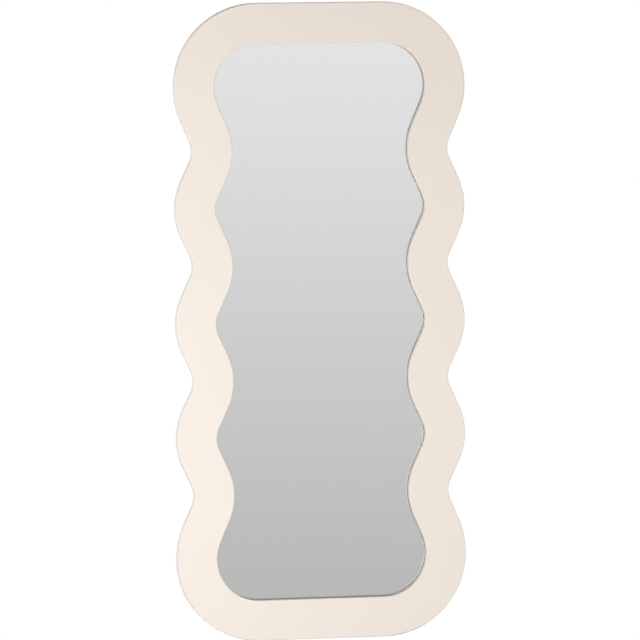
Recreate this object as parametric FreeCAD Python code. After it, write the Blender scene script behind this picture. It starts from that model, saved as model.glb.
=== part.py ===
import FreeCAD, Part
import math
import os

# A tall wavy wall mirror in millimetres. +X is right as seen from the front, -Y is the front,
# +Z is up. The origin is the middle of the mirror on the wall's surface, which the pads touch.

# Outline of the frame, given along the centreline of its band
frame_height = 1650.0
band_width = 104.3
corner_reach = 328.6
bump_setback = 1.3
wave_depth = 44.9
corner_radius = 163.5
least_wave_pitch = 262.0
corner_slope_deg = 23.3
wave_slope_deg = 24.7
valley_radius_share = 0.484

# Section of the frame
frame_thickness = 25.0
lip_thickness = 17.2
front_edge_round = 2.0
back_edge_round = 1.0

# Glass and what seats it
lip_overlap = 9.0
rebate_clearance = 2.0
glass_thickness = 4.0
glass_arris = 0.5
silver_thickness = 0.3
tape_thickness = 0.8
tape_width = 6.0
tape_inset = 1.0
setting_block_length = 40.0
setting_block_setback = 15.0

# Strips that press the glass forward, under the backing board
packing_width = 18.0
packing_inset = 3.0
packing_end_gap = 12.0

# Backing board
board_thickness = 3.0
board_overlap = 13.0
board_screw_inset = 7.0
long_side_screws = 8
short_side_screws = 3

# Screws: head radius, head height, rim height, shank radius, length and point
board_screw = dict(head_radius=3.4, head_height=2.0, rim=0.6, radius=1.75, length=15.0, point=3.0)
wood_screw = dict(head_radius=4.0, head_height=2.6, rim=0.8, radius=2.0, length=16.0, point=4.0)
screw_hole_clearance = 0.25
recess_width = 0.9
recess_length = 3.8
recess_depth = 1.1

# Strap hangers
wire_radius = 1.75
loop_clearance = 0.08
strap_thickness = 1.2
strap_slit = 0.15
strap_width = 18.0
strap_length = 47.0
strap_corner_round = 3.0
strap_joggle_radius = 2.0
joggle_slope_deg = 45.0
rivet_from_loop = 10.0
rivet_radius = 1.6
rivet_head_radius = 2.7
rivet_head_height = 1.2
rivet_rim = 0.3
first_screw_from_loop = 27.0
second_screw_from_loop = 40.0

# Wire ring of a hanger
ring_inner_width = 24.0
ring_leg_length = 6.0
ring_bend_radius = 3.5
ring_seat_gap = 0.3

# Places of the hangers
upright_hanger_rise = 41.0
side_hanger_gap = 2.6

# Wall pads
pad_height = 8.0
pad_base_radius = 12.0
pad_top_radius = 11.0
pad_edge_round = 1.0
pad_recess_radius = 5.5
pad_recess_depth = 4.5
pad_beyond_centreline = 14.5

# Every cut runs this far past the surface that it opens
overrun = 1.0
# Two places nearer than this are the same place
same_place = 0.001

# Depths from the wall, all negative because the front faces -Y
frame_back = -pad_height
frame_front = frame_back - frame_thickness
lip_back = frame_front + lip_thickness
glass_front = lip_back + tape_thickness
glass_back = glass_front + glass_thickness
silver_back = glass_back + silver_thickness
board_back = frame_back + board_thickness

# Crests of the bumps and valleys, and corners and glass, as half sizes from the middle
bump_reach = corner_reach - bump_setback
valley_reach = bump_reach - wave_depth
corner_x = corner_reach - corner_radius
corner_z = frame_height / 2 - band_width / 2 - corner_radius
opening_corner_radius = corner_radius - band_width / 2
glass_corner_radius = opening_corner_radius + lip_overlap
rebate_corner_radius = glass_corner_radius + rebate_clearance
board_corner_radius = rebate_corner_radius + board_overlap

# Loop of the strap: its middle stands this far off the frame's back
loop_height = strap_thickness + loop_clearance + wire_radius
leaf_top = 2 * strap_thickness + strap_slit
ring_half_width = ring_inner_width / 2 + wire_radius
ring_reach = ring_leg_length + ring_half_width

# A ring that hangs down leans out by this angle, where its wire meets the strap
ring_lean_deg = math.degrees(math.asin((leaf_top + ring_seat_gap + wire_radius - loop_height) / ring_reach))
# Swung up, it stops this far past upright, where its wire meets the frame
ring_stop_deg = math.degrees(math.asin((loop_height - wire_radius - ring_seat_gap) / ring_reach))
ring_travel_deg = 180 - ring_lean_deg + ring_stop_deg


def point(x, y, z):
    return FreeCAD.Vector(x, y, z)


def solve_waves():
    """Half a wave's height, the number of waves, and the radii of bumps and valleys on the centreline.

    Neighbouring bends are joined by straight runs of a given slope. Two bends of summed radius R,
    whose crests differ by D sideways, then lie R * tan(slope / 2) + D / tan(slope) apart.
    """
    slope = math.radians(wave_slope_deg)
    corner_slope = math.radians(corner_slope_deg)
    corner_depth = corner_reach - valley_reach
    count = max(2, int(2 * (corner_z - corner_radius) / least_wave_pitch))
    valley_gain = valley_radius_share * math.tan(corner_slope / 2) / math.tan(slope / 2)
    fixed_run = corner_radius * math.tan(corner_slope / 2) + corner_depth / math.tan(corner_slope)
    half_wave = (corner_z - fixed_run + valley_gain * wave_depth / math.tan(slope)) / (count + valley_gain)
    radius_sum = (half_wave - wave_depth / math.tan(slope)) / math.tan(slope / 2)
    valley_radius = valley_radius_share * radius_sum
    return half_wave, count, radius_sum - valley_radius, valley_radius


half_wave, wave_count, bump_radius, valley_radius = solve_waves()


def bend_arc(centre_x, centre_z, radius, start_deg, end_deg, y):
    """Start, middle and end of an arc. A negative radius is a bend whose centre lies outside the frame."""
    angles = (start_deg, (start_deg + end_deg) / 2, end_deg)
    return [point(centre_x + radius * math.cos(math.radians(a)), y,
                  centre_z + radius * math.sin(math.radians(a))) for a in angles]


def right_side_arcs(offset, y):
    """Arcs of the right side from top to bottom, at a distance outside the centreline."""
    arcs = [bend_arc(corner_x, corner_z, corner_radius + offset, 90, -corner_slope_deg, y)]
    last = 2 * wave_count
    for i in range(last + 1):
        z = (wave_count - i) * half_wave
        above = corner_slope_deg if i == 0 else wave_slope_deg
        below = corner_slope_deg if i == last else wave_slope_deg
        if i % 2 == 0:
            centre_x = valley_reach + valley_radius
            arcs.append(bend_arc(centre_x, z, offset - valley_radius, -above, below, y))
        else:
            centre_x = bump_reach - bump_radius
            arcs.append(bend_arc(centre_x, z, bump_radius + offset, above, -below, y))
    arcs.append(bend_arc(corner_x, -corner_z, corner_radius + offset, corner_slope_deg, -90, y))
    return arcs


def join_arcs(arcs):
    """Closed wire through arcs in order, with a straight edge from each to the next."""
    edges = []
    previous_end = arcs[-1][2]
    for start, middle, end in arcs:
        edges.append(Part.LineSegment(previous_end, start).toShape())
        edges.append(Part.Arc(start, middle, end).toShape())
        previous_end = end
    return Part.Wire(edges)


def band_outline(offset, y):
    right = right_side_arcs(offset, y)
    left = [[point(-p.x, p.y, p.z) for p in reversed(arc)] for arc in reversed(right)]
    return join_arcs(right + left)


def rounded_rectangle(half_x, half_z, radius, y):
    arcs = []
    for sign_x, sign_z, start_deg in ((1, 1, 90), (1, -1, 0), (-1, -1, -90), (-1, 1, -180)):
        centre_x = sign_x * (half_x - radius)
        centre_z = sign_z * (half_z - radius)
        arcs.append(bend_arc(centre_x, centre_z, radius, start_deg, start_deg - 90, y))
    return join_arcs(arcs)


def corner_concentric(radius, y):
    """Rounded rectangle whose corners share their centres with the frame's large corners."""
    return rounded_rectangle(corner_x + radius, corner_z + radius, radius, y)


def plate(wire, thickness):
    return Part.Face(wire).extrude(point(0, thickness, 0))


def box_between(x0, x1, y0, y1, z0, z1):
    return Part.makeBox(x1 - x0, y1 - y0, z1 - z0, point(x0, y0, z0))


def edges_at_depth(shape, y):
    """Edges that lie flat at one distance from the wall."""
    return [e for e in shape.Edges if abs(e.BoundBox.YMin - y) < same_place
            and abs(e.BoundBox.YMax - y) < same_place]


def dome_profile(radius, height, rim, bottom):
    """Half section of a domed head in the X-Y plane, from its top down to its flat underside."""
    rise = height - rim
    sphere = (radius ** 2 + rise ** 2) / (2 * rise)
    middle_x = radius / 2
    middle_y = bottom + rim + math.sqrt(sphere ** 2 - middle_x ** 2) - (sphere - rise)
    top = point(0, bottom + height, 0)
    edge = point(radius, bottom + rim, 0)
    dome = Part.Arc(top, point(middle_x, middle_y, 0), edge)
    return [dome.toShape(), Part.LineSegment(edge, point(radius, bottom, 0)).toShape()]


def turned(edges, corners):
    """Solid of revolution about Y: the edges, then straight edges through the corners and closed."""
    whole = list(edges)
    here = corners[0]
    for stop in corners[1:] + [edges[0].Vertexes[0].Point]:
        whole.append(Part.LineSegment(here, stop).toShape())
        here = stop
    face = Part.Face(Part.Wire(whole))
    return face.revolve(point(0, 0, 0), point(0, 1, 0), 360)


def screw(size, x, seat_y, z):
    """Pan-head screw driven towards the front, with the underside of its head at seat_y."""
    edges = dome_profile(size["head_radius"], size["head_height"], size["rim"], 0)
    full = size["length"] - size["point"]
    corners = [point(size["head_radius"], 0, 0), point(size["radius"], 0, 0),
               point(size["radius"], -full, 0), point(0, -size["length"], 0)]
    body = turned(edges, corners)
    bottom = size["head_height"] - recess_depth
    for half_x, half_z in ((recess_length / 2, recess_width / 2), (recess_width / 2, recess_length / 2)):
        body = body.cut(box_between(-half_x, half_x, bottom, size["head_height"] + overrun, -half_z, half_z))
    body.translate(point(x, seat_y, z))
    return body


def screw_hole(size, x, y0, y1, z):
    radius = size["radius"] + screw_hole_clearance
    return Part.makeCylinder(radius, y1 - y0, point(x, y0, z), point(0, 1, 0))


def board_screw_places():
    places = []
    side_x = corner_x + board_corner_radius - board_screw_inset
    end_z = corner_z + board_corner_radius - board_screw_inset
    for i in range(long_side_screws):
        z = corner_z * (2 * i / (long_side_screws - 1) - 1)
        places += [(-side_x, z), (side_x, z)]
    for i in range(short_side_screws):
        x = corner_x * (2 * i / (short_side_screws - 1) - 1)
        places += [(x, -end_z), (x, end_z)]
    return places


def pad_places():
    """Middle of each pad, out along the diagonal of its corner."""
    along = (corner_radius + pad_beyond_centreline) * math.sqrt(0.5)
    return {"upper_left": (-corner_x - along, corner_z + along),
            "upper_right": (corner_x + along, corner_z + along),
            "lower_left": (-corner_x - along, -corner_z - along),
            "lower_right": (corner_x + along, -corner_z - along)}


def hanger_places():
    """Place of each hanger's loop, and its turn about Y from hanging straight down."""
    upright_z = corner_z + upright_hanger_rise
    side_x = corner_x + board_corner_radius + side_hanger_gap + strap_length
    side_z = (wave_count - 1) * half_wave
    return {"upper_left": (-corner_reach, upright_z, 0),
            "upper_right": (corner_reach, upright_z, 0),
            "side_top": (-side_x, side_z, -90),
            "side_bottom": (-side_x, -side_z, -90)}


def seat_on_back(shape, place):
    """A hanger's piece, made hanging from the origin, moved to its place on the frame's back."""
    x, z, turn_deg = place
    placed = shape.copy()
    placed.rotate(point(0, 0, 0), point(0, 1, 0), turn_deg)
    placed.translate(point(x, frame_back, z))
    return placed


def ribbon(path, thickness, width):
    """Bent strip of constant thickness, centred on X, whose path lies in the Y-Z plane.

    A path piece is ("line", start, end) or ("arc", centre, radius, start_deg, end_deg), with points as
    (z, y). The pieces follow each other without a kink.
    """
    sides = {1: [], -1: []}
    for piece in path:
        for side in sides:
            shift = side * thickness / 2
            if piece[0] == "line":
                (z0, y0), (z1, y1) = piece[1], piece[2]
                length = math.hypot(z1 - z0, y1 - y0)
                dz = -(y1 - y0) / length * shift
                dy = (z1 - z0) / length * shift
                sides[side].append((point(0, y0 + dy, z0 + dz), point(0, y1 + dy, z1 + dz)))
            else:
                (zc, yc), radius, start_deg, end_deg = piece[1:]
                turn = 1 if end_deg > start_deg else -1
                r = radius - turn * shift
                angles = (start_deg, (start_deg + end_deg) / 2, end_deg)
                sides[side].append(tuple(point(0, yc + r * math.sin(math.radians(a)),
                                               zc + r * math.cos(math.radians(a))) for a in angles))
    left = sides[1]
    right = [tuple(reversed(piece)) for piece in reversed(sides[-1])]
    edges = []
    for run in (left, right):
        for piece in run:
            if len(piece) == 2:
                edges.append(Part.LineSegment(*piece).toShape())
            else:
                edges.append(Part.Arc(*piece).toShape())
    edges.append(Part.LineSegment(left[-1][-1], right[0][0]).toShape())
    edges.append(Part.LineSegment(right[-1][-1], left[0][0]).toShape())
    face = Part.Face(Part.Wire(Part.__sortEdges__(edges)))
    solid = face.extrude(point(width, 0, 0))
    solid.translate(point(-width / 2, 0, 0))
    return solid


def strap_path():
    """Centreline of the strap: up the leaf on the frame, round the wire and back down on the first leaf."""
    low_y = strap_thickness / 2
    high_y = low_y + strap_thickness + strap_slit
    loop_radius = loop_height - strap_thickness / 2
    slope = math.radians(joggle_slope_deg)
    loop_end_deg = 180 - (90 - joggle_slope_deg)
    leave_z = loop_radius * math.cos(math.radians(loop_end_deg))
    leave_y = loop_height + loop_radius * math.sin(math.radians(loop_end_deg))
    bend_y = high_y + strap_joggle_radius
    touch_y = bend_y - strap_joggle_radius * math.cos(slope)
    fall = (leave_y - touch_y) / math.tan(slope)
    touch_z = leave_z - fall
    bend_z = touch_z - strap_joggle_radius * math.sin(slope)
    return [("line", (-strap_length, low_y), (0, low_y)),
            ("arc", (0, loop_height), loop_radius, -90, loop_end_deg),
            ("line", (leave_z, leave_y), (touch_z, touch_y)),
            ("arc", (bend_z, bend_y), strap_joggle_radius, joggle_slope_deg - 90, -90),
            ("line", (bend_z, high_y), (-strap_length, high_y))]


def make_strap():
    strap = ribbon(strap_path(), strap_thickness, strap_width)
    ends = [e for e in strap.Edges if abs(e.BoundBox.ZMax + strap_length) < same_place
            and e.BoundBox.YLength > same_place and e.BoundBox.XLength < same_place]
    strap = strap.makeFillet(strap_corner_round, ends)
    for along in (first_screw_from_loop, second_screw_from_loop):
        strap = strap.cut(screw_hole(wood_screw, 0, -overrun, leaf_top + overrun, -along))
    hole = Part.makeCylinder(rivet_radius, leaf_top + 2 * overrun, point(0, -overrun, -rivet_from_loop),
                             point(0, 1, 0))
    return strap.cut(hole)


def make_rivet():
    edges = dome_profile(rivet_head_radius, rivet_head_height, rivet_rim, leaf_top)
    corners = [point(rivet_head_radius, leaf_top, 0), point(rivet_radius, leaf_top, 0),
               point(rivet_radius, 0, 0), point(0, 0, 0)]
    rivet = turned(edges, corners)
    rivet.translate(point(0, 0, -rivet_from_loop))
    return rivet


def make_ring():
    """D-shaped wire ring, hung on the strap's loop and leaning on the strap."""
    straight = ring_half_width - ring_bend_radius
    bend = ring_bend_radius * math.sqrt(0.5)
    path = [Part.LineSegment(point(-straight, 0, 0), point(straight, 0, 0)),
            Part.Arc(point(straight, 0, 0), point(straight + bend, 0, bend - ring_bend_radius),
                     point(ring_half_width, 0, -ring_bend_radius)),
            Part.LineSegment(point(ring_half_width, 0, -ring_bend_radius),
                             point(ring_half_width, 0, -ring_leg_length)),
            Part.Arc(point(ring_half_width, 0, -ring_leg_length), point(0, 0, -ring_reach),
                     point(-ring_half_width, 0, -ring_leg_length)),
            Part.LineSegment(point(-ring_half_width, 0, -ring_leg_length),
                             point(-ring_half_width, 0, -ring_bend_radius)),
            Part.Arc(point(-ring_half_width, 0, -ring_bend_radius),
                     point(-straight - bend, 0, bend - ring_bend_radius), point(-straight, 0, 0))]
    spine = Part.Wire([piece.toShape() for piece in path])
    section = Part.Wire(Part.makeCircle(wire_radius, point(-straight, 0, 0), point(1, 0, 0)))
    ring = spine.makePipeShell([section], True, False)
    expected = spine.Length * math.pi * wire_radius ** 2
    print("ring volume over wire length times section:", round(ring.Volume / expected, 4))
    ring.rotate(point(0, 0, 0), point(1, 0, 0), ring_lean_deg)
    ring.translate(point(0, loop_height, 0))
    return ring


def make_frame(screws):
    frame = plate(band_outline(band_width / 2, frame_front), frame_thickness)
    frame = frame.makeFillet(back_edge_round, edges_at_depth(frame, frame_back))
    opening = plate(band_outline(-band_width / 2, frame_front - overrun), frame_thickness + 2 * overrun)
    frame = frame.cut(opening)
    frame = frame.makeFillet(front_edge_round, edges_at_depth(frame, frame_front))
    rebate = plate(corner_concentric(rebate_corner_radius, lip_back), frame_back - lip_back + overrun)
    frame = frame.cut(rebate)
    return frame.cut(Part.makeCompound(screws))


def make_glass():
    glass = plate(corner_concentric(glass_corner_radius, glass_front), glass_thickness)
    edges = edges_at_depth(glass, glass_front) + edges_at_depth(glass, glass_back)
    return glass.makeChamfer(glass_arris, edges)


def make_silver():
    return plate(corner_concentric(glass_corner_radius - glass_arris, glass_back), silver_thickness)


def make_tape():
    outer_radius = glass_corner_radius - tape_inset
    tape = plate(corner_concentric(outer_radius, lip_back), tape_thickness)
    inner = corner_concentric(outer_radius - tape_width, lip_back - overrun)
    return tape.cut(plate(inner, tape_thickness + 2 * overrun))


def make_setting_blocks():
    """Blocks that carry the glass, under the two ends of its straight bottom edge."""
    top = -(corner_z + glass_corner_radius)
    far_x = corner_x - setting_block_setback
    near_x = far_x - setting_block_length
    blocks = []
    for x0, x1 in ((-far_x, -near_x), (near_x, far_x)):
        blocks.append(box_between(x0, x1, glass_front, glass_back, top - rebate_clearance, top))
    return Part.makeCompound(blocks)


def make_packing():
    """Strips behind the silvered back of the glass: along its four edges and down its middle."""
    side_x = corner_x + glass_corner_radius - packing_inset
    end_z = corner_z + glass_corner_radius - packing_inset
    half_width = packing_width / 2
    middle_end = end_z - packing_width - packing_end_gap
    spans = {"left": (-side_x, -side_x + packing_width, -corner_z, corner_z),
             "right": (side_x - packing_width, side_x, -corner_z, corner_z),
             "top": (-corner_x, corner_x, end_z - packing_width, end_z),
             "bottom": (-corner_x, corner_x, -end_z, -end_z + packing_width),
             "middle": (-half_width, half_width, -middle_end, middle_end)}
    return {name: box_between(x0, x1, silver_back, frame_back, z0, z1)
            for name, (x0, x1, z0, z1) in spans.items()}


def make_board():
    board = plate(corner_concentric(board_corner_radius, frame_back), board_thickness)
    for x, z in board_screw_places():
        board = board.cut(screw_hole(board_screw, x, frame_back - overrun, board_back + overrun, z))
    return board


def make_pad(place):
    x, z = place
    pad = Part.makeCone(pad_base_radius, pad_top_radius, pad_height, point(x, frame_back, z), point(0, 1, 0))
    pad = pad.makeFillet(pad_edge_round, edges_at_depth(pad, 0))
    recess = Part.makeCylinder(pad_recess_radius, pad_recess_depth + overrun, point(x, -pad_recess_depth, z),
                               point(0, 1, 0))
    return pad.cut(recess).cut(screw_hole(wood_screw, x, frame_back - overrun, overrun, z))


def hanger_screws():
    screws = []
    for x, z, turn_deg in hanger_places().values():
        for along in (first_screw_from_loop, second_screw_from_loop):
            turn = math.radians(turn_deg)
            screws.append(screw(wood_screw, x - along * math.sin(turn), frame_back + leaf_top,
                                z - along * math.cos(turn)))
    return screws


backing_screws = [screw(board_screw, x, board_back, z) for x, z in board_screw_places()]
strap_screws = hanger_screws()
pad_screws = [screw(wood_screw, x, -pad_recess_depth, z) for x, z in pad_places().values()]

nodes = {
    "frame_ring": make_frame(backing_screws + strap_screws + pad_screws),
    "mirror_glass": make_glass(),
    "silver_backing": make_silver(),
    "glass_seating_tape": make_tape(),
    "setting_blocks": make_setting_blocks(),
    "backing_board": make_board(),
    "backing_screws": Part.makeCompound(backing_screws),
    "hanger_screws": Part.makeCompound(strap_screws),
    "wall_pad_screws": Part.makeCompound(pad_screws),
}
for name, strip in make_packing().items():
    nodes["packing_strip_" + name] = strip
for name, place in pad_places().items():
    nodes["wall_pad_" + name] = make_pad(place)

strap = make_strap()
rivet = make_rivet()
ring = make_ring()
rivets = []
for name, place in hanger_places().items():
    nodes["hanger_strap_" + name] = seat_on_back(strap, place)
    nodes["hanger_ring_" + name] = seat_on_back(ring, place)
    rivets.append(seat_on_back(rivet, place))
nodes["hanger_rivets"] = Part.makeCompound(rivets)

os.makedirs("parts", exist_ok=True)
for name, shape in nodes.items():
    shape.exportStep("parts/" + name + ".step")
    print(name, "solids", len(shape.Solids), "valid", shape.isValid(), "volume", round(shape.Volume, 1))

print("waves", wave_count, "half wave", round(half_wave, 2), "bump radius", round(bump_radius, 2),
      "valley radius", round(valley_radius, 2))
print("ring lean", round(ring_lean_deg, 3), "travel", round(ring_travel_deg, 3))
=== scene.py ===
"""Looks, studio and camera for a tall wavy wall mirror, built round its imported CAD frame."""

import math

import bmesh
import bpy
from bpy.props import FloatProperty, FloatVectorProperty, IntProperty, PointerProperty
from bpy.types import Operator, Panel, PropertyGroup
from mathutils import Matrix, Vector, noise


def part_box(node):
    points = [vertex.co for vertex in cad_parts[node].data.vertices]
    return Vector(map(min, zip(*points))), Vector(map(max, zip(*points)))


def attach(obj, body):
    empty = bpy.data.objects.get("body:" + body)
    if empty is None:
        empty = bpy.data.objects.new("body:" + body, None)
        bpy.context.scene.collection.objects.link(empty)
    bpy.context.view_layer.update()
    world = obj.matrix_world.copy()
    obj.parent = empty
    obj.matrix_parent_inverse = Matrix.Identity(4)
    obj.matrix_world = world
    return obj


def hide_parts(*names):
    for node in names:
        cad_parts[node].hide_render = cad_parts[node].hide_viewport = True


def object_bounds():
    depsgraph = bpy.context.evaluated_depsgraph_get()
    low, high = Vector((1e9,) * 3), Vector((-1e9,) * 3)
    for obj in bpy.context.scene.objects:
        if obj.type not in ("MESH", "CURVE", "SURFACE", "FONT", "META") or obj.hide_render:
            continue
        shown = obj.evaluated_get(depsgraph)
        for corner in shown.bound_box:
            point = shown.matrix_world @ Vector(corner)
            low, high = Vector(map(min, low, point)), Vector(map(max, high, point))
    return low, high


bl_info = {
    "name": "Wavy mirror",
    "version": (1, 0, 0),
    "blender": (4, 5, 0),
    "location": "3D View > Sidebar > Mirror",
    "description": "Finishes the wavy mirror's parts and sets its studio",
    "category": "Object",
}

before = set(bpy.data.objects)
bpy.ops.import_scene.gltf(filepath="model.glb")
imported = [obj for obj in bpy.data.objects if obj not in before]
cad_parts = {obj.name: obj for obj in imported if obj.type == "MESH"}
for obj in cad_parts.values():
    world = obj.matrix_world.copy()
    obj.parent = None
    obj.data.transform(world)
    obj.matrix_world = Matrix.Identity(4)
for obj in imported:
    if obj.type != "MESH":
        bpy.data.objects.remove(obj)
cad_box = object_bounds()

MM = 0.001
HANGERS = ("upper_left", "upper_right", "side_top", "side_bottom")
PADS = ("upper_left", "upper_right", "lower_left", "lower_right")
STRIPS = ("left", "right", "top", "bottom", "middle")

# Sockets of a node that mixes two colours: how much of the second, the two colours, the result
MIX_SHARE, MIX_A, MIX_B, MIXED = 0, 6, 7, 2

# How the felt and the tape are cut
EDGE_STEPS = 3
SHARP_ANGLE = 1
MERGE_DISTANCE = 0.01 * MM
FELT_CUT_SPACING = 12 * MM
FELT_WANDER_SPACING = 25 * MM

# Patches of bloom and depth of the grain on both rubbers
BLOOM_SPACING = 9 * MM
RUBBER_GRAIN_DEPTH = 0.06 * MM

# Greys of the surround by how far a ray points up: first what shines in the glass and the metal
GREY_REACH = 0.5
FRONT_SHINE = ((-0.5, 0.45), (-0.25, 0.45), (-0.136, 0.532), (-0.0951, 0.669), (-0.0621, 0.793),
               (-0.0456, 0.843), (0.0, 0.95), (0.06, 1.0), (0.2, 0.9), (0.5, 0.8))
BACK_SHINE = ((-0.5, 0.5), (0.2, 0.95))
# and then the light on everything else
FRONT_LIGHT = ((-0.5, 0.26), (-0.35, 0.26), (-0.05, 0.88), (0.1, 0.6), (0.4, 0.04))
BACK_LIGHT = ((-0.5, 0.4), (0.0, 0.8), (0.5, 0.95))
# How far a ray points back, and aside, where the surround has wholly turned to that side's greys
BACK_REACH = 0.3
SIDE_REACH = 0.8

# Shares of the floor's radius where its shading begins to fade and where it has gone
FADE_START_SHARE = 0.3
FADE_END_SHARE = 0.97

# Place, side, power and colour of each lamp, and whether it makes highlights
LAMPS = {
    "key_lamp": ((-3.3, -1.35, -0.1), 1.3, 82, "E6EFFF", False),
    "low_lamp": ((-0.7, -3.3, -0.85), 1.1, 53, "FFFBF5", False),
    "right_lamp": ((2.6, -2.7, 0.1), 1.2, 20, "FFF6EC", True),
}
LAMP_AIM = Vector((0, 0, -0.1))
SENSOR_WIDTH_MM = 36


def from_hex(code):
    """Linear colour of an sRGB hex code such as F2E8DC."""
    linear = []
    for i in (0, 2, 4):
        value = int(code[i:i + 2], 16) / 255
        linear.append(value / 12.92 if value <= 0.04045 else ((value + 0.055) / 1.055) ** 2.4)
    return tuple(linear)


def per_metre(spacing):
    """Texture scale of a pattern whose cells are this far apart, in metres."""
    return 1 / spacing


def colour_property(name, code, description):
    return FloatVectorProperty(name=name, description=description, default=from_hex(code),
                               subtype="COLOR", size=3, min=0, max=1)


def length_property(name, default, description):
    return FloatProperty(name=name, description=description, default=default, unit="LENGTH",
                         precision=5)


def share_property(name, default, description):
    return FloatProperty(name=name, description=description, default=default, subtype="FACTOR",
                         min=0, max=1)


def angle_property(name, default, description):
    return FloatProperty(name=name, description=description, default=default, subtype="ANGLE")


def count_property(name, default, least, description):
    return IntProperty(name=name, description=description, default=default, min=least)


class FrameFinish(PropertyGroup):
    lacquer: colour_property("Lacquer", "F3EBE3", "Cream of the sprayed lacquer")
    lacquer_drift: colour_property("Lacquer drift", "F0E7DE", "Cream where the coat is fuller")
    # The next two give the darker cream of the rounded edges: partly a thinner coat, partly painted
    # shade
    lacquer_edge_and_shade: colour_property("Lacquer edge", "ADA396", "Where the coat pulls thin on an edge")
    edge_shade_share: share_property("Edge share", 0.3, "How far the thin coat shows on a rounded edge")
    board: colour_property("Fibreboard", "C3A379", "Bare fibreboard under the coat on the back")
    board_fibre: colour_property("Fibre", "8D6C48", "Darker fibres of the board")
    drift_spacing: length_property("Drift spacing", 220 * MM, "Distance between fuller coats")
    gloss_spacing: length_property("Gloss spacing", 30 * MM, "Distance between duller patches")
    peel_spacing: length_property("Peel spacing", 4 * MM, "Width of a dimple of the orange peel")
    peel_depth: length_property("Peel depth", 0.03 * MM, "Depth of the orange peel")
    fibre_spacing: length_property("Fibre spacing", 3.5 * MM, "Distance between the fibres")
    fibre_depth: length_property("Fibre depth", 0.12 * MM, "How far the fibres stand out")
    dusting_spacing: length_property("Dusting spacing", 110 * MM, "Width of a barer patch behind")
    dusting_front: length_property("Dusting front", -12 * MM, "Depth where the full coat ends")
    dusting_blend: length_property("Dusting blend", 1 * MM, "Depth over which the coat thins")
    roughness: share_property("Roughness", 0.42, "Roughness of the satin lacquer")
    gloss_range: share_property("Gloss range", 0.04, "How far the roughness varies each way")
    back_roughness: share_property("Back roughness", 0.75, "Roughness of the dusted back")


class GlassFinish(PropertyGroup):
    edge: colour_property("Glass edge", "A9C7B8", "Green of the ground glass edge")
    silver: colour_property("Silver", "F4F5F4", "Silver seen through the glass")
    film: colour_property("Safety film", "8C9194", "Grey film behind the silver")
    edge_roughness: share_property("Edge roughness", 0.45, "Roughness of the ground edge")
    film_roughness: share_property("Film roughness", 0.55, "Roughness of the safety film")
    wave_spacing: length_property("Wave spacing", 90 * MM, "Distance between the float's waves")
    wave_depth: length_property("Wave depth", 0.0004 * MM, "Depth of the float's waves")
    thread_spacing: length_property("Thread spacing", 3 * MM, "Distance between the film's threads")
    silver_bond: length_property("Silver bond", 0.02 * MM, "Depth of the silver inside the glass")
    corner_radius: length_property("Corner radius", 119.85 * MM, "Radius of the silver's corners")
    corner_steps: count_property("Corner steps", 32, 4, "Faces round each corner of the silver")


class PackingFinish(PropertyGroup):
    felt: colour_property("Felt", "8D877C", "Pressed wool felt")
    felt_dark: colour_property("Felt fibre", "655F56", "Darker fibres in the felt")
    foam: colour_property("Foam tape", "34363A", "Closed-cell foam tape")
    neoprene: colour_property("Setting block", "1E1F22", "Neoprene of the setting blocks")
    neoprene_bloom: colour_property("Block bloom", "2F3135", "Greyer bloom on the neoprene")
    neoprene_grain: length_property("Block grain", 1.5 * MM, "Grain of the cut neoprene")
    tuft_spacing: length_property("Tuft spacing", 1.4 * MM, "Distance between tufts of the felt")
    tuft_depth: length_property("Tuft depth", 0.3 * MM, "How far the tufts stand out")
    cell_spacing: length_property("Cell spacing", 0.5 * MM, "Width of a cell of the foam")
    cell_depth: length_property("Cell depth", 0.1 * MM, "Depth of the cut cells of the foam")
    felt_edge_round: length_property("Felt edge", 0.9 * MM, "Round of the felt's pressed edges")
    felt_ripple: length_property("Felt ripple", 0.25 * MM, "How far the felt's sides wander")
    tape_corner_radius: length_property("Tape corner", 119.35 * MM, "Radius of the tape's corners")
    tape_width: length_property("Tape width", 6 * MM, "Width of the foam tape")
    tape_edge_round: length_property("Tape edge", 0.25 * MM, "Round of the squeezed edges")
    tape_corner_steps: count_property("Tape corner steps", 24, 4, "Faces round a tape corner")


class BoardFinish(PropertyGroup):
    hardboard: colour_property("Hardboard", "7B563A", "Pressed smooth face of the hardboard")
    hardboard_dark: colour_property("Hardboard fibre", "573A26", "Darker fibres in the hardboard")
    fibre_spacing: length_property("Fibre spacing", 3 * MM, "Distance between the fibres")
    fibre_depth: length_property("Fibre depth", 0.05 * MM, "How far the fibres stand out")
    mottle_spacing: length_property("Mottle spacing", 60 * MM, "Distance between darker patches")


class HardwareFinish(PropertyGroup):
    zinc: colour_property("Zinc", "C6C8CA", "Bright zinc plating")
    zinc_dull: colour_property("Dull zinc", "A9ABA8", "Zinc where it has begun to dull")
    nickel: colour_property("Nickel", "D6D0C6", "Nickel plating of the wire rings")
    nickel_dull: colour_property("Handled nickel", "B5AEA2", "Nickel that has been handled")
    zinc_rough: share_property("Zinc roughness", 0.28, "Roughness of the bright zinc")
    zinc_dull_rough: share_property("Dull zinc roughness", 0.42, "Roughness of the dull zinc")
    nickel_rough: share_property("Nickel roughness", 0.14, "Roughness of the bright nickel")
    nickel_dull_rough: share_property("Handled roughness", 0.26, "Roughness of handled nickel")
    spangle_spacing: length_property("Spangle spacing", 5 * MM, "Width of a duller patch of zinc")
    handling_spacing: length_property("Handling spacing", 8 * MM, "Width of a handled patch")
    scratch_spacing: length_property("Scratch spacing", 0.6 * MM, "Distance between rolling marks")
    scratch_depth: length_property("Scratch depth", 0.01 * MM, "Depth of the rolling marks")


class PadFinish(PropertyGroup):
    rubber: colour_property("Rubber", "222325", "Black moulded rubber")
    bloom: colour_property("Bloom", "3A3B3D", "Greyer bloom on the rubber")
    grain_spacing: length_property("Grain spacing", 0.9 * MM, "Grain of the mould")


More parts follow.
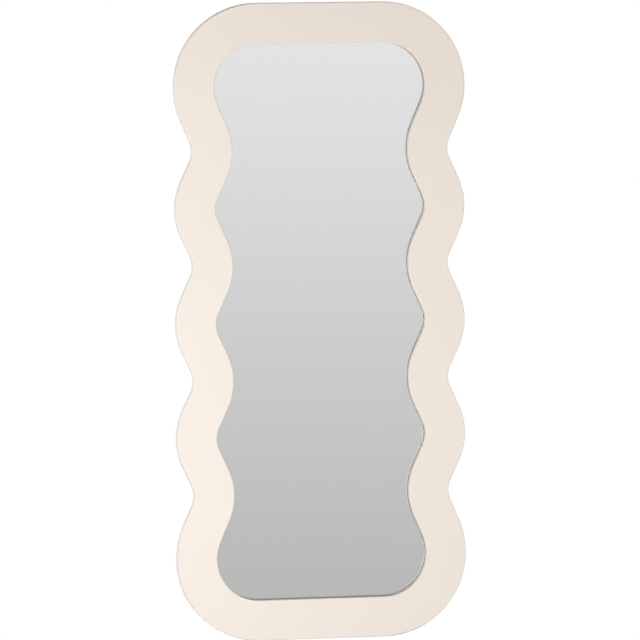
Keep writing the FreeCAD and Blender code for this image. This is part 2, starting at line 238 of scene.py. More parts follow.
class StudioSettings(PropertyGroup):
    floor: colour_property("Floor", "959595", "Grey of the floor in the light it throws back")
    floor_drop: length_property("Floor drop", 500 * MM, "Height of the mirror over the floor")
    floor_radius: length_property("Floor radius", 2.1, "Radius of the floor")
    floor_steps: count_property("Floor steps", 128, 16, "Edges round the floor")
    shadow_share: share_property("Shadow share", 0.4, "Share of the floor's colour from real light")
    floor_light: share_property("Floor light", 0.62, "Brightness of the floor where it is open")
    view_distance: length_property("View distance", 15.0, "Distance from the camera to the front")
    view_yaw: angle_property("View yaw", math.radians(11), "How far left of the axis it stands")
    view_rise: angle_property("View rise", math.radians(5.3), "How far over the middle it stands")
    view_roll: angle_property("View roll", -0.0052, "Tilt of the camera about its own axis")
    aim: FloatVectorProperty(name="Aim", description="Point on the front that the camera looks at",
                             default=(-3.33 * MM, -33 * MM, 5.33 * MM), subtype="XYZ",
                             unit="LENGTH", precision=5)
    lens: FloatProperty(name="Lens", description="Focal length in millimetres", default=326.6)
    back_left_share: share_property("Back left share", 0.25, "Soft light from behind left")
    soft_light: colour_property("Soft light", "FFF8EC", "Colour of the soft light all round")


def settings(name):
    return getattr(bpy.context.scene, name)


def set_sockets(tree, node, values=(), links=()):
    """Gives a node's sockets their values and the sockets that feed them."""
    for socket, value in dict(values).items():
        node.inputs[socket].default_value = value
    for socket, source in dict(links).items():
        tree.links.new(source, node.inputs[socket])


def add_node(tree, kind, values=(), links=(), **attributes):
    """Adds a node with its settings, its sockets' values and the sockets that feed it."""
    node = tree.nodes.new(kind)
    for name, value in attributes.items():
        setattr(node, name, value)
    set_sockets(tree, node, values, links)
    return node


def opaque(colour):
    """A colour with full alpha, as a node's socket takes it."""
    return (*colour[:3], 1)


def new_material(name):
    """A material with an empty Principled shader: the material, its tree and the shader."""
    material = bpy.data.materials.new(name)
    material.use_nodes = True
    tree = material.node_tree
    tree.nodes.clear()
    shader = add_node(tree, "ShaderNodeBsdfPrincipled")
    add_node(tree, "ShaderNodeOutputMaterial", links={"Surface": shader.outputs[0]})
    return material, tree, shader


def satin_lacquer(finish):
    """Cream polyurethane lacquer, sprayed over routed fibreboard.

    It looks even and slightly warm, with a soft sheen and a faint orange peel. The rounded
    edges are painted darker, partly for the thinner coat there and partly as painted shade, and
    on the back only a dusting of it covers the brown board. The rear of the lip is sprayed in
    full, because the mirror shows it.
    """
    material, tree, shader = new_material("satin_cream_lacquer")
    place = add_node(tree, "ShaderNodeTexCoord")
    spot = place.outputs["Object"]
    facing = add_node(tree, "ShaderNodeSeparateXYZ", links={0: place.outputs["Normal"]})

    drift = add_node(tree, "ShaderNodeTexNoise", links={"Vector": spot},
                     values={"Scale": per_metre(finish.drift_spacing), "Detail": 3})
    cream = add_node(tree, "ShaderNodeMix", data_type="RGBA", links={MIX_SHARE: drift.outputs[0]},
                     values={MIX_A: opaque(finish.lacquer), MIX_B: opaque(finish.lacquer_drift)})

    # The rounded edge is where the surface faces neither straight out nor sideways. There a darker
    # cream is mixed in, partly for the thinner coat and partly as painted shade on the edge
    outward = add_node(tree, "ShaderNodeMath", operation="MULTIPLY", use_clamp=True,
                       links={0: facing.outputs["Y"]}, values={1: -1})
    inward = add_node(tree, "ShaderNodeMath", operation="SUBTRACT", values={0: 1},
                      links={1: outward.outputs[0]})
    turn = add_node(tree, "ShaderNodeMath", operation="MULTIPLY",
                    links={0: outward.outputs[0], 1: inward.outputs[0]})
    edge = add_node(tree, "ShaderNodeMapRange", links={0: turn.outputs[0]},
                    values={"From Min": 0.05, "From Max": 0.25, "To Min": 0,
                            "To Max": finish.edge_shade_share})
    thin_coat_and_edge_shade = add_node(tree, "ShaderNodeMix", data_type="RGBA",
                       links={MIX_SHARE: edge.outputs[0], MIX_A: cream.outputs[MIXED]},
                       values={MIX_B: opaque(finish.lacquer_edge_and_shade)})

    # Thin coat on the back, with the board's fibres through it
    fibre = add_node(tree, "ShaderNodeTexNoise", links={"Vector": spot},
                     values={"Scale": per_metre(finish.fibre_spacing), "Detail": 5,
                             "Roughness": 0.7, "Distortion": 0.6})
    brown = add_node(tree, "ShaderNodeMix", data_type="RGBA", links={MIX_SHARE: fibre.outputs[0]},
                     values={MIX_A: opaque(finish.board), MIX_B: opaque(finish.board_fibre)})
    dusting = add_node(tree, "ShaderNodeTexNoise", links={"Vector": spot},
                       values={"Scale": per_metre(finish.dusting_spacing), "Detail": 2,
                               "Roughness": 0.4})
    cover = add_node(tree, "ShaderNodeMapRange", links={0: dusting.outputs[0]},
                     values={"From Min": 0.3, "From Max": 0.7, "To Min": 0.42, "To Max": 0.58})
    coated = add_node(tree, "ShaderNodeMix", data_type="RGBA",
                      links={MIX_SHARE: cover.outputs[0], MIX_A: brown.outputs[MIXED],
                             MIX_B: cream.outputs[MIXED]})
    depth = add_node(tree, "ShaderNodeSeparateXYZ", links={0: spot})
    rearmost = add_node(tree, "ShaderNodeMapRange", links={0: depth.outputs["Y"]},
                        values={"From Min": finish.dusting_front,
                                "From Max": finish.dusting_front + finish.dusting_blend})
    rearward = add_node(tree, "ShaderNodeMapRange", interpolation_type="SMOOTHSTEP",
                        links={0: facing.outputs["Y"]}, values={"From Min": 0.05, "From Max": 0.5})
    back = add_node(tree, "ShaderNodeMath", operation="MULTIPLY",
                    links={0: rearward.outputs[0], 1: rearmost.outputs[0]})
    colour = add_node(tree, "ShaderNodeMix", data_type="RGBA",
                      links={MIX_SHARE: back.outputs[0], MIX_A: thin_coat_and_edge_shade.outputs[MIXED],
                             MIX_B: coated.outputs[MIXED]})

    gloss = add_node(tree, "ShaderNodeTexNoise", links={"Vector": spot},
                     values={"Scale": per_metre(finish.gloss_spacing), "Detail": 3})
    front_rough = add_node(tree, "ShaderNodeMapRange", links={0: gloss.outputs[0]},
                           values={"From Min": 0.3, "From Max": 0.7,
                                   "To Min": finish.roughness - finish.gloss_range,
                                   "To Max": finish.roughness + finish.gloss_range})
    rough = add_node(tree, "ShaderNodeMix", links={0: back.outputs[0], 2: front_rough.outputs[0]},
                     values={3: finish.back_roughness})

    peel = add_node(tree, "ShaderNodeTexNoise", links={"Vector": spot},
                    values={"Scale": per_metre(finish.peel_spacing), "Detail": 1.5})
    peeled = add_node(tree, "ShaderNodeBump", links={"Height": peel.outputs[0]},
                      values={"Strength": 1, "Distance": finish.peel_depth})
    fibred = add_node(tree, "ShaderNodeMath", operation="MULTIPLY",
                      links={0: fibre.outputs[0], 1: back.outputs[0]})
    surface = add_node(tree, "ShaderNodeBump",
                       links={"Height": fibred.outputs[0], "Normal": peeled.outputs[0]},
                       values={"Strength": 1, "Distance": finish.fibre_depth})
    set_sockets(tree, shader, values={"IOR": 1.5},
                links={"Base Color": colour.outputs[MIXED], "Roughness": rough.outputs[0],
                       "Normal": surface.outputs[0]})
    return material


def float_glass(finish):
    """Clear float glass with ground edges.

    The faces are perfectly smooth, with the very faint wave that floating leaves. The ground
    edge scatters the light and shows the green of the iron in it.
    """
    material, tree, shader = new_material("clear_float_glass")
    place = add_node(tree, "ShaderNodeTexCoord")
    facing = add_node(tree, "ShaderNodeSeparateXYZ", links={0: place.outputs["Normal"]})
    flat = add_node(tree, "ShaderNodeMath", operation="ABSOLUTE", links={0: facing.outputs["Y"]})
    ground = add_node(tree, "ShaderNodeMapRange", links={0: flat.outputs[0]},
                      values={"From Min": 0.98, "From Max": 0.9})
    colour = add_node(tree, "ShaderNodeMix", data_type="RGBA", links={MIX_SHARE: ground.outputs[0]},
                      values={MIX_A: opaque(from_hex("FFFFFF")), MIX_B: opaque(finish.edge)})
    rough = add_node(tree, "ShaderNodeMath", operation="MULTIPLY", links={0: ground.outputs[0]},
                     values={1: finish.edge_roughness})
    wave = add_node(tree, "ShaderNodeTexNoise", links={"Vector": place.outputs["Object"]},
                    values={"Scale": per_metre(finish.wave_spacing), "Detail": 1})
    waved = add_node(tree, "ShaderNodeBump", links={"Height": wave.outputs[0]},
                     values={"Strength": 1, "Distance": finish.wave_depth})
    set_sockets(tree, shader, values={"Transmission Weight": 1, "IOR": 1.52},
                links={"Base Color": colour.outputs[MIXED], "Roughness": rough.outputs[0],
                       "Normal": waved.outputs[0]})
    return material


def silver_coat(finish):
    """Chemically deposited silver with a grey safety film behind it.

    Through the glass it is a bright neutral mirror. From behind it is dull grey film with a
    fine weave of reinforcing threads.
    """
    material, tree, shader = new_material("deposited_silver_and_film")
    place = add_node(tree, "ShaderNodeTexCoord")
    facing = add_node(tree, "ShaderNodeSeparateXYZ", links={0: place.outputs["Normal"]})
    film = add_node(tree, "ShaderNodeMapRange", links={0: facing.outputs["Y"]},
                    values={"From Min": -0.9, "From Max": -0.8})
    thread = add_node(tree, "ShaderNodeTexNoise", links={"Vector": place.outputs["Object"]},
                      values={"Scale": per_metre(finish.thread_spacing), "Detail": 4})
    shade = add_node(tree, "ShaderNodeMapRange", links={0: thread.outputs[0]},
                     values={"From Min": 0.3, "From Max": 0.7, "To Min": 0.85, "To Max": 1})
    grey = add_node(tree, "ShaderNodeMix", data_type="RGBA", blend_type="MULTIPLY",
                    links={MIX_B: shade.outputs[0]},
                    values={MIX_SHARE: 1, MIX_A: opaque(finish.film)})
    colour = add_node(tree, "ShaderNodeMix", data_type="RGBA",
                      links={MIX_SHARE: film.outputs[0], MIX_B: grey.outputs[MIXED]},
                      values={MIX_A: opaque(finish.silver)})
    metal = add_node(tree, "ShaderNodeMath", operation="SUBTRACT", values={0: 1},
                     links={1: film.outputs[0]})
    rough = add_node(tree, "ShaderNodeMath", operation="MULTIPLY", links={0: film.outputs[0]},
                     values={1: finish.film_roughness})
    set_sockets(tree, shader,
                links={"Base Color": colour.outputs[MIXED], "Metallic": metal.outputs[0],
                       "Roughness": rough.outputs[0]})
    return material


def pressed_felt(finish):
    """Grey wool felt, needled and pressed: soft, fibrous and without shine."""
    material, tree, shader = new_material("pressed_wool_felt")
    spot = add_node(tree, "ShaderNodeTexCoord").outputs["Object"]
    # Wool fibres are far finer than this, and are drawn as tufts so that they show
    tuft = add_node(tree, "ShaderNodeTexNoise", links={"Vector": spot},
                    values={"Scale": per_metre(finish.tuft_spacing), "Detail": 6,
                            "Roughness": 0.75, "Distortion": 1.2})
    colour = add_node(tree, "ShaderNodeMix", data_type="RGBA", links={MIX_SHARE: tuft.outputs[0]},
                      values={MIX_A: opaque(finish.felt), MIX_B: opaque(finish.felt_dark)})
    bump = add_node(tree, "ShaderNodeBump", links={"Height": tuft.outputs[0]},
                    values={"Strength": 1, "Distance": finish.tuft_depth})
    set_sockets(tree, shader, values={"Roughness": 0.95, "Sheen Weight": 0.4},
                links={"Base Color": colour.outputs[MIXED], "Normal": bump.outputs[0]})
    return material


def closed_cell_foam(finish):
    """Polyethylene foam tape: dark, matt and pitted with small closed cells."""
    material, tree, shader = new_material("closed_cell_foam")
    spot = add_node(tree, "ShaderNodeTexCoord").outputs["Object"]
    cell = add_node(tree, "ShaderNodeTexVoronoi", links={"Vector": spot},
                    values={"Scale": per_metre(finish.cell_spacing)})
    shade = add_node(tree, "ShaderNodeMapRange", links={0: cell.outputs["Distance"]},
                     values={"From Min": 0, "From Max": 0.8, "To Min": 0.7, "To Max": 1.15})
    colour = add_node(tree, "ShaderNodeMix", data_type="RGBA", blend_type="MULTIPLY",
                      links={MIX_B: shade.outputs[0]},
                      values={MIX_SHARE: 1, MIX_A: opaque(finish.foam)})
    bump = add_node(tree, "ShaderNodeBump", links={"Height": cell.outputs["Distance"]},
                    values={"Strength": 0.6, "Distance": finish.cell_depth})
    set_sockets(tree, shader, values={"Roughness": 0.85},
                links={"Base Color": colour.outputs[MIXED], "Normal": bump.outputs[0]})
    return material


def moulded_rubber(name, colour, bloom, grain_spacing):
    """Black rubber from a mould: matt, with a fine grain and a greyish bloom in patches."""
    material, tree, shader = new_material(name)
    spot = add_node(tree, "ShaderNodeTexCoord").outputs["Object"]
    patch = add_node(tree, "ShaderNodeTexNoise", links={"Vector": spot},
                     values={"Scale": per_metre(BLOOM_SPACING), "Detail": 4})
    share = add_node(tree, "ShaderNodeMapRange", links={0: patch.outputs[0]},
                     values={"From Min": 0.4, "From Max": 0.75})
    mixed = add_node(tree, "ShaderNodeMix", data_type="RGBA", links={MIX_SHARE: share.outputs[0]},
                     values={MIX_A: opaque(colour), MIX_B: opaque(bloom)})
    rough = add_node(tree, "ShaderNodeMapRange", links={0: share.outputs[0]},
                     values={"To Min": 0.58, "To Max": 0.75})
    grain = add_node(tree, "ShaderNodeTexNoise", links={"Vector": spot},
                     values={"Scale": per_metre(grain_spacing), "Detail": 3})
    bump = add_node(tree, "ShaderNodeBump", links={"Height": grain.outputs[0]},
                    values={"Strength": 0.5, "Distance": RUBBER_GRAIN_DEPTH})
    set_sockets(tree, shader, values={"IOR": 1.52},
                links={"Base Color": mixed.outputs[MIXED], "Roughness": rough.outputs[0],
                       "Normal": bump.outputs[0]})
    return material


def pressed_hardboard(finish):
    """Wood fibres wet-pressed to a hard board.

    The smooth face is brown and slightly polished by the press, with fine darker fibres and
    broad faint patches.
    """
    material, tree, shader = new_material("pressed_hardboard")
    spot = add_node(tree, "ShaderNodeTexCoord").outputs["Object"]
    fibre = add_node(tree, "ShaderNodeTexNoise", links={"Vector": spot},
                     values={"Scale": per_metre(finish.fibre_spacing), "Detail": 7,
                             "Roughness": 0.75, "Distortion": 1.5})
    sharp = add_node(tree, "ShaderNodeMapRange", links={0: fibre.outputs[0]},
                     values={"From Min": 0.38, "From Max": 0.68})
    mottle = add_node(tree, "ShaderNodeTexNoise", links={"Vector": spot},
                      values={"Scale": per_metre(finish.mottle_spacing), "Detail": 3})
    both = add_node(tree, "ShaderNodeMath", operation="MULTIPLY_ADD",
                    links={0: mottle.outputs[0], 2: sharp.outputs[0]}, values={1: 0.5})
    share = add_node(tree, "ShaderNodeMapRange", links={0: both.outputs[0]},
                     values={"From Min": 0.15, "From Max": 1.2})
    colour = add_node(tree, "ShaderNodeMix", data_type="RGBA", links={MIX_SHARE: share.outputs[0]},
                      values={MIX_A: opaque(finish.hardboard),
                              MIX_B: opaque(finish.hardboard_dark)})
    rough = add_node(tree, "ShaderNodeMapRange", links={0: mottle.outputs[0]},
                     values={"From Min": 0.3, "From Max": 0.7, "To Min": 0.42, "To Max": 0.56})
    bump = add_node(tree, "ShaderNodeBump", links={"Height": fibre.outputs[0]},
                    values={"Strength": 0.5, "Distance": finish.fibre_depth})
    set_sockets(tree, shader,
                links={"Base Color": colour.outputs[MIXED], "Roughness": rough.outputs[0],
                       "Normal": bump.outputs[0]})
    return material


def plated_metal(name, finish, bright, dull, bright_rough, dull_rough, patch_spacing):
    """Electroplated steel: a bright satin metal that dulls in soft patches, with rolling marks."""
    material, tree, shader = new_material(name)
    spot = add_node(tree, "ShaderNodeTexCoord").outputs["Object"]
    patch = add_node(tree, "ShaderNodeTexNoise", links={"Vector": spot},
                     values={"Scale": per_metre(patch_spacing), "Detail": 4})
    share = add_node(tree, "ShaderNodeMapRange", links={0: patch.outputs[0]},
                     values={"From Min": 0.35, "From Max": 0.7})
    colour = add_node(tree, "ShaderNodeMix", data_type="RGBA", links={MIX_SHARE: share.outputs[0]},
                      values={MIX_A: opaque(bright), MIX_B: opaque(dull)})
    rough = add_node(tree, "ShaderNodeMapRange", links={0: share.outputs[0]},
                     values={"To Min": bright_rough, "To Max": dull_rough})
    scratch = add_node(tree, "ShaderNodeTexNoise", links={"Vector": spot},
                       values={"Scale": per_metre(finish.scratch_spacing), "Detail": 2})
    bump = add_node(tree, "ShaderNodeBump", links={"Height": scratch.outputs[0]},
                    values={"Strength": 0.4, "Distance": finish.scratch_depth})
    set_sockets(tree, shader, values={"Metallic": 1},
                links={"Base Color": colour.outputs[MIXED], "Roughness": rough.outputs[0],
                       "Normal": bump.outputs[0]})
    return material


def dress(node, material):
    """Gives a CAD node its finish."""
    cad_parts[node].material_slots[0].material = material


def new_piece(name, shape, material, node, smooth=True):
    """Turns a finished bmesh into a piece of the mirror that stands for a CAD node."""
    mesh = bpy.data.meshes.new(name)
    shape.to_mesh(mesh)
    shape.free()
    mesh.materials.append(material)
    for face in mesh.polygons:
        face.use_smooth = smooth
    piece = bpy.data.objects.new(name, mesh)
    bpy.context.scene.collection.objects.link(piece)
    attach(piece, "mirror")
    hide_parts(node)
    return piece


def block(middle, size):
    """A plain block, to be cut into shape."""
    shape = bmesh.new()
    bmesh.ops.create_cube(shape, size=1)
    bmesh.ops.scale(shape, vec=size, verts=shape.verts)
    bmesh.ops.translate(shape, vec=middle, verts=shape.verts)
    return shape


def round_edges(shape, edges, radius, steps):
    bmesh.ops.bevel(shape, geom=edges, offset=radius, offset_type="OFFSET", segments=steps,
                    profile=0.5, affect="EDGES", material=-1)


def of_kind(geometry, kind):
    """The vertices, edges or faces among what a bmesh operator made."""
    return [part for part in geometry if isinstance(part, kind)]


def silver_film(finish, material):
    """The silver and its film, bonded to the glass: a thin sheet with round corners."""
    low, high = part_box("silver_backing")
    low.y -= finish.silver_bond
    shape = block((low + high) / 2, high - low)
    corners = [e for e in shape.edges
               if abs(e.verts[1].co.y - e.verts[0].co.y) > (high.y - low.y) / 2]
    round_edges(shape, corners, finish.corner_radius, finish.corner_steps)
    bmesh.ops.recalc_face_normals(shape, faces=shape.faces)
    new_piece("silver_and_film", shape, material, "silver_backing", smooth=False)


def felt_strip(name, node, finish, material):
    """A cut strip of felt, squeezed flat between glass and board, with soft wandering sides."""
    low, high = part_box(node)
    size = high - low
    middle = (low + high) / 2
    long_axis = max((0, 2), key=lambda i: size[i])
    side_axis = 2 - long_axis
    narrowed = Vector(size)
    narrowed[side_axis] -= 2 * finish.felt_ripple
    shape = block(middle, narrowed)
    along = Vector([float(i == long_axis) for i in range(3)])
    runs = [e for e in shape.edges
            if abs((e.verts[1].co - e.verts[0].co).normalized().dot(along)) > 0.5]
    bmesh.ops.subdivide_edges(shape, edges=runs, cuts=int(size[long_axis] / FELT_CUT_SPACING))
    sharp = [e for e in shape.edges
             if len(e.link_faces) == 2 and e.calc_face_angle() > SHARP_ANGLE]
    round_edges(shape, sharp, finish.felt_edge_round, EDGE_STEPS)
    for vert in shape.verts:
        outward = 1 if vert.co[side_axis] > middle[side_axis] else -1
        wander = noise.noise(vert.co * per_metre(FELT_WANDER_SPACING))
        vert.co[side_axis] += outward * finish.felt_ripple * wander
    bmesh.ops.recalc_face_normals(shape, faces=shape.faces)
    piece = new_piece(name, shape, material, node)


def foam_tape(finish, material):
    """The foam tape behind the lip: one flat loop with round corners and squeezed edges."""
    low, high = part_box("glass_seating_tape")
    corner_x = high.x - finish.tape_corner_radius
    corner_z = high.z - finish.tape_corner_radius
    shape = bmesh.new()
    outer = shape.verts.new((high.x, low.y, -corner_z))
    inner = shape.verts.new((high.x - finish.tape_width, low.y, -corner_z))
    leading = [shape.edges.new((outer, inner))]
    # Each straight run, and the middle of the corner that follows it
    turns = ((0, 2 * corner_z, corner_x, corner_z), (-2 * corner_x, 0, -corner_x, corner_z),
             (0, -2 * corner_z, -corner_x, -corner_z), (2 * corner_x, 0, corner_x, -corner_z))
    for step_x, step_z, centre_x, centre_z in turns:
        run = bmesh.ops.extrude_edge_only(shape, edges=leading)["geom"]
        ends = of_kind(run, bmesh.types.BMVert)
        bmesh.ops.translate(shape, vec=(step_x, 0, step_z), verts=ends)
        turned = bmesh.ops.spin(shape, geom=ends + of_kind(run, bmesh.types.BMEdge),
                                cent=(centre_x, 0, centre_z), axis=(0, -1, 0), angle=math.pi / 2,
                                steps=finish.tape_corner_steps, use_duplicate=False)
        leading = of_kind(turned["geom_last"], bmesh.types.BMEdge)
    bmesh.ops.remove_doubles(shape, verts=shape.verts, dist=MERGE_DISTANCE)
    raised = bmesh.ops.extrude_face_region(shape, geom=shape.faces[:])["geom"]
    bmesh.ops.translate(shape, vec=(0, high.y - low.y, 0),
                        verts=of_kind(raised, bmesh.types.BMVert))
    bmesh.ops.recalc_face_normals(shape, faces=shape.faces)
    rims = [e for e in shape.edges if e.calc_face_angle() > SHARP_ANGLE]
    round_edges(shape, rims, finish.tape_edge_round, EDGE_STEPS)
    bmesh.ops.recalc_face_normals(shape, faces=shape.faces)
    piece = new_piece("foam_seating_tape", shape, material, "glass_seating_tape")


class WAVYMIRROR_OT_lacquer_frame(Operator):
    """Lacquer the wavy frame"""
    bl_idname = "wavy_mirror.lacquer_frame"
    bl_label = "Lacquer the frame"

    def execute(self, context):
        dress("frame_ring", satin_lacquer(settings("mirror_frame")))
        return {"FINISHED"}


class WAVYMIRROR_OT_silver_glass(Operator):
    """Make the glass clear and silver its back"""
    bl_idname = "wavy_mirror.silver_glass"
    bl_label = "Silver the glass"

    def execute(self, context):
        finish = settings("mirror_glass")
        dress("mirror_glass", float_glass(finish))
        silver_film(finish, silver_coat(finish))
        return {"FINISHED"}


class WAVYMIRROR_OT_seat_glass(Operator):
    """Lay the foam tape, the setting blocks and the felt strips that hold the glass"""
    bl_idname = "wavy_mirror.seat_glass"
    bl_label = "Seat the glass"

    def execute(self, context):
        finish = settings("mirror_packing")
        felt = pressed_felt(finish)
        for side in STRIPS:
            felt_strip("felt_strip_" + side, "packing_strip_" + side, finish, felt)
        foam_tape(finish, closed_cell_foam(finish))
        dress("setting_blocks", moulded_rubber("cut_neoprene", finish.neoprene,
                                               finish.neoprene_bloom, finish.neoprene_grain))
        return {"FINISHED"}


class WAVYMIRROR_OT_close_back(Operator):
    """Finish the hardboard that closes the back"""
    bl_idname = "wavy_mirror.close_back"
    bl_label = "Close the back"

    def execute(self, context):
        dress("backing_board", pressed_hardboard(settings("mirror_board")))
        return {"FINISHED"}


class WAVYMIRROR_OT_plate_hardware(Operator):
    """Plate the screws, straps, rivets and hanging rings"""
    bl_idname = "wavy_mirror.plate_hardware"
    bl_label = "Plate the hardware"

    def execute(self, context):
        finish = settings("mirror_hardware")
        zinc = plated_metal("bright_zinc_plate", finish, finish.zinc, finish.zinc_dull,
                            finish.zinc_rough, finish.zinc_dull_rough, finish.spangle_spacing)
        nickel = plated_metal("nickel_plate", finish, finish.nickel, finish.nickel_dull,
                              finish.nickel_rough, finish.nickel_dull_rough,
                              finish.handling_spacing)
        for node in ("backing_screws", "hanger_screws", "wall_pad_screws", "hanger_rivets"):
            dress(node, zinc)
        for place in HANGERS:
            dress("hanger_strap_" + place, zinc)
            dress("hanger_ring_" + place, nickel)
        return {"FINISHED"}


class WAVYMIRROR_OT_mould_pads(Operator):
    """Finish the four rubber wall pads"""
    bl_idname = "wavy_mirror.mould_pads"
    bl_label = "Mould the pads"

    def execute(self, context):
        finish = settings("mirror_pads")
        rubber = moulded_rubber("moulded_black_rubber", finish.rubber, finish.bloom,
                                finish.grain_spacing)
        for place in PADS:
            dress("wall_pad_" + place, rubber)
        return {"FINISHED"}


def studio_floor(studio):
    """Pale floor under the hanging mirror.

    It meets the white surround at its rim and keeps the shadow. From below it isn't seen.
    """
    low, _ = cad_box
    shape = bmesh.new()
    bmesh.ops.create_circle(shape, cap_ends=True, segments=studio.floor_steps,
                            radius=studio.floor_radius)
    bmesh.ops.translate(shape, vec=(0, 0, low.z - studio.floor_drop), verts=shape.verts)
    mesh = bpy.data.meshes.new("studio_floor")
    shape.to_mesh(mesh)
    shape.free()

    material = bpy.data.materials.new("studio_floor")
    material.use_nodes = True
    tree = material.node_tree
    tree.nodes.clear()
    place = add_node(tree, "ShaderNodeTexCoord")
    flat = add_node(tree, "ShaderNodeVectorMath", operation="MULTIPLY",
                    links={0: place.outputs["Object"]}, values={1: (1, 1, 0)})
    away = add_node(tree, "ShaderNodeVectorMath", operation="LENGTH", links={0: flat.outputs[0]})
    share = add_node(tree, "ShaderNodeMapRange", interpolation_type="SMOOTHSTEP",
                     links={0: away.outputs["Value"]},
                     values={"From Min": FADE_START_SHARE * studio.floor_radius,
                             "From Max": FADE_END_SHARE * studio.floor_radius,
                             "To Min": studio.shadow_share, "To Max": 0})
    glow = add_node(tree, "ShaderNodeMath", operation="MULTIPLY_ADD", links={0: share.outputs[0]},
                    values={1: -studio.floor_light, 2: 1})
    white = add_node(tree, "ShaderNodeEmission", links={"Strength": glow.outputs[0]})
    shaded = add_node(tree, "ShaderNodeBsdfDiffuse", links={0: share.outputs[0]})
    seen = add_node(tree, "ShaderNodeAddShader", links={0: white.outputs[0], 1: shaded.outputs[0]})
    plain = add_node(tree, "ShaderNodeBsdfDiffuse", values={0: opaque(studio.floor)})
    side = add_node(tree, "ShaderNodeNewGeometry")
    clear = add_node(tree, "ShaderNodeBsdfTransparent")
    above = add_node(tree, "ShaderNodeMixShader",
                     links={0: side.outputs["Backfacing"], 1: seen.outputs[0],
                            2: clear.outputs[0]})
    light = add_node(tree, "ShaderNodeLightPath")
    direct = add_node(tree, "ShaderNodeMixShader",
                      links={0: light.outputs["Is Camera Ray"], 1: plain.outputs[0],
                             2: above.outputs[0]})
    add_node(tree, "ShaderNodeOutputMaterial", links={"Surface": direct.outputs[0]})
    mesh.materials.append(material)
    floor = bpy.data.objects.new("studio_floor", mesh)
    bpy.context.scene.collection.objects.link(floor)
    # The mirror looks past the floor, at the grey sweep of the surround
    floor.visible_transmission = False


def studio_world(studio):
    """White to the camera, a grey sweep in mirror and metal, and soft light on all the rest."""
    world = bpy.data.worlds.new("studio")
    world.use_nodes = True
    bpy.context.scene.world = world
    tree = world.node_tree
    tree.nodes.clear()
    place = add_node(tree, "ShaderNodeTexCoord")
    way = add_node(tree, "ShaderNodeSeparateXYZ", links={0: place.outputs["Generated"]})

    height = add_node(tree, "ShaderNodeMapRange", links={0: way.outputs["Z"]},
                      values={"From Min": -GREY_REACH, "From Max": GREY_REACH})
    greys = []
    for levels in (FRONT_SHINE, BACK_SHINE, FRONT_LIGHT, BACK_LIGHT):
        ramp = add_node(tree, "ShaderNodeValToRGB", links={0: height.outputs[0]})
        stops = ramp.color_ramp.elements
        while len(stops) < len(levels):
            stops.new(1)
        for stop, (up, grey) in zip(stops, levels):
            stop.position = (up + GREY_REACH) / (2 * GREY_REACH)
            stop.color = (grey, grey, grey, 1)
        greys.append(ramp.outputs[0])
    front_shine, back_shine, front_light, back_light = greys

    back = add_node(tree, "ShaderNodeMapRange", interpolation_type="SMOOTHSTEP",
                    links={0: way.outputs["Y"]},
                    values={"From Min": -BACK_REACH, "From Max": BACK_REACH})
    shine = add_node(tree, "ShaderNodeMix", data_type="RGBA",
                     links={MIX_SHARE: back.outputs[0], MIX_A: front_shine, MIX_B: back_shine})
    # The soft light behind the mirror comes more from the right
    aside = add_node(tree, "ShaderNodeMapRange", links={0: way.outputs["X"]},
                     values={"From Min": -SIDE_REACH, "From Max": SIDE_REACH,
                             "To Min": studio.back_left_share, "To Max": 1})
    behind = add_node(tree, "ShaderNodeMix", data_type="RGBA", blend_type="MULTIPLY",
                      links={MIX_A: back_light, MIX_B: aside.outputs[0]}, values={MIX_SHARE: 1})
    soft = add_node(tree, "ShaderNodeMix", data_type="RGBA",
                    links={MIX_SHARE: back.outputs[0], MIX_A: front_light,
                           MIX_B: behind.outputs[MIXED]})
    warm = add_node(tree, "ShaderNodeMix", data_type="RGBA", blend_type="MULTIPLY",
                    links={MIX_A: soft.outputs[MIXED]},
                    values={MIX_SHARE: 1, MIX_B: opaque(studio.soft_light)})

    light = add_node(tree, "ShaderNodeLightPath")
    shiny = add_node(tree, "ShaderNodeMath", operation="MAXIMUM",
                     links={0: light.outputs["Is Glossy Ray"],
                            1: light.outputs["Is Transmission Ray"]})
    mirrored = add_node(tree, "ShaderNodeMix", data_type="RGBA",
                        links={MIX_SHARE: shiny.outputs[0], MIX_A: warm.outputs[MIXED],
                               MIX_B: shine.outputs[MIXED]})
    seen = add_node(tree, "ShaderNodeMix", data_type="RGBA",
                    links={MIX_SHARE: light.outputs["Is Camera Ray"],
                           MIX_A: mirrored.outputs[MIXED]},
                    values={MIX_B: (1, 1, 1, 1)})
    surround = add_node(tree, "ShaderNodeBackground", links={0: seen.outputs[MIXED]})
    add_node(tree, "ShaderNodeOutputWorld", links={"Surface": surround.outputs[0]})


def pane_without_lamps():
    """Collection of the glass and its silver, which the lamps pass over.

    A lamp's square would cover the grey sweep in the mirror.
    """
    pane = bpy.data.collections.new("passed_over_by_lamps")
    pane.objects.link(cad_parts["mirror_glass"])
    pane.objects.link(bpy.data.objects["silver_and_film"])
    for piece in pane.collection_objects:
        piece.light_linking.link_state = "EXCLUDE"
    return pane


def soft_box(name, place, side, power, colour, shines, pane):
    """A square studio lamp, aimed at the mirror and hidden from the camera."""
    data = bpy.data.lights.new(name, "AREA")
    data.shape = "SQUARE"
    data.size = side
    data.energy = power
    data.color = colour
    lamp = bpy.data.objects.new(name, data)
    turn = (LAMP_AIM - Vector(place)).to_track_quat("-Z", "Y").to_matrix().to_4x4()
    lamp.matrix_world = Matrix.Translation(place) @ turn
    bpy.context.scene.collection.objects.link(lamp)
    lamp.visible_camera = False
    lamp.visible_glossy = shines
    lamp.light_linking.receiver_collection = pane


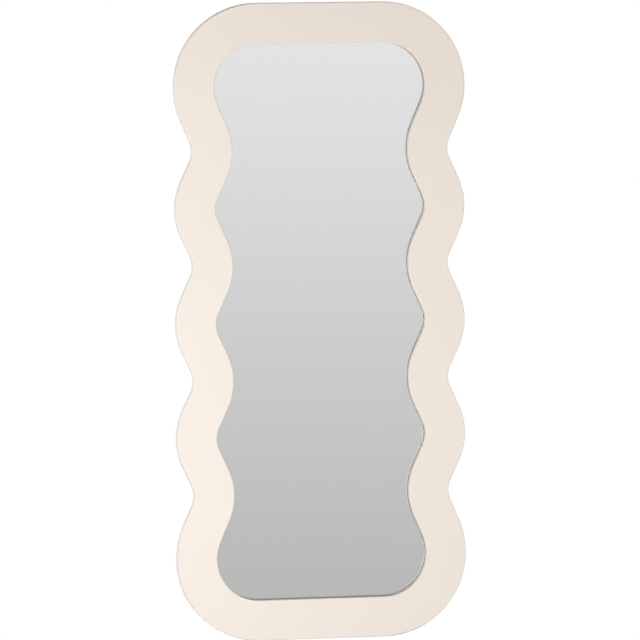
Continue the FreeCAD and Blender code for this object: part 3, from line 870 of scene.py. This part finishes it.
def studio_camera(studio):
    """Camera at the photograph's place: a little left of the mirror's axis and a little above."""
    yaw, rise, roll = studio.view_yaw, studio.view_rise, studio.view_roll
    aim = Vector(studio.aim)
    toward = Vector((-math.sin(yaw) * math.cos(rise), -math.cos(yaw) * math.cos(rise),
                     math.sin(rise)))
    place = Vector((0, aim.y, 0)) + toward * studio.view_distance
    ahead = (aim - place).normalized()
    right = ahead.cross(Vector((0, 0, 1))).normalized()
    up = right.cross(ahead)
    rolled_right = right * math.cos(roll) + up * math.sin(roll)
    rolled_up = up * math.cos(roll) - right * math.sin(roll)
    data = bpy.data.cameras.new("studio_camera")
    data.lens = studio.lens
    data.sensor_width = SENSOR_WIDTH_MM
    data.clip_end = 10 * studio.view_distance
    camera = bpy.data.objects.new("studio_camera", data)
    turn = Matrix((rolled_right, rolled_up, -ahead)).transposed().to_4x4()
    camera.matrix_world = Matrix.Translation(place) @ turn
    bpy.context.scene.collection.objects.link(camera)
    bpy.context.scene.camera = camera


class WAVYMIRROR_OT_set_studio(Operator):
    """Set the floor, the surround, the lamps and the camera"""
    bl_idname = "wavy_mirror.set_studio"
    bl_label = "Set the studio"

    def execute(self, context):
        studio = settings("mirror_studio")
        studio_floor(studio)
        studio_world(studio)
        pane = pane_without_lamps()
        for name, (place, side, power, colour, shines) in LAMPS.items():
            soft_box(name, place, side, power, from_hex(colour), shines, pane)
        studio_camera(studio)
        bpy.context.scene.view_settings.view_transform = "Standard"
        return {"FINISHED"}


class WAVYMIRROR_PT_steps(Panel):
    """Steps that finish the mirror"""
    bl_idname = "WAVYMIRROR_PT_steps"
    bl_label = "Wavy mirror"
    bl_space_type = "VIEW_3D"
    bl_region_type = "UI"
    bl_category = "Mirror"

    def draw(self, context):
        for step in STEPS:
            self.layout.operator(step.bl_idname)


GROUPS = {
    "mirror_frame": FrameFinish,
    "mirror_glass": GlassFinish,
    "mirror_packing": PackingFinish,
    "mirror_board": BoardFinish,
    "mirror_hardware": HardwareFinish,
    "mirror_pads": PadFinish,
    "mirror_studio": StudioSettings,
}
STEPS = (
    WAVYMIRROR_OT_lacquer_frame,
    WAVYMIRROR_OT_silver_glass,
    WAVYMIRROR_OT_seat_glass,
    WAVYMIRROR_OT_close_back,
    WAVYMIRROR_OT_plate_hardware,
    WAVYMIRROR_OT_mould_pads,
    WAVYMIRROR_OT_set_studio,
)


def register():
    for name, group in GROUPS.items():
        bpy.utils.register_class(group)
        setattr(bpy.types.Scene, name, PointerProperty(type=group))
    for step in STEPS:
        bpy.utils.register_class(step)
    bpy.utils.register_class(WAVYMIRROR_PT_steps)


def unregister():
    bpy.utils.unregister_class(WAVYMIRROR_PT_steps)
    for step in reversed(STEPS):
        bpy.utils.unregister_class(step)
    for name, group in reversed(GROUPS.items()):
        delattr(bpy.types.Scene, name)
        bpy.utils.unregister_class(group)


def main():
    register()
    bpy.ops.wavy_mirror.lacquer_frame()
    bpy.ops.wavy_mirror.silver_glass()
    bpy.ops.wavy_mirror.seat_glass()
    bpy.ops.wavy_mirror.close_back()
    bpy.ops.wavy_mirror.plate_hardware()
    bpy.ops.wavy_mirror.mould_pads()
    bpy.ops.wavy_mirror.set_studio()


if __name__ == "__main__":
    main()
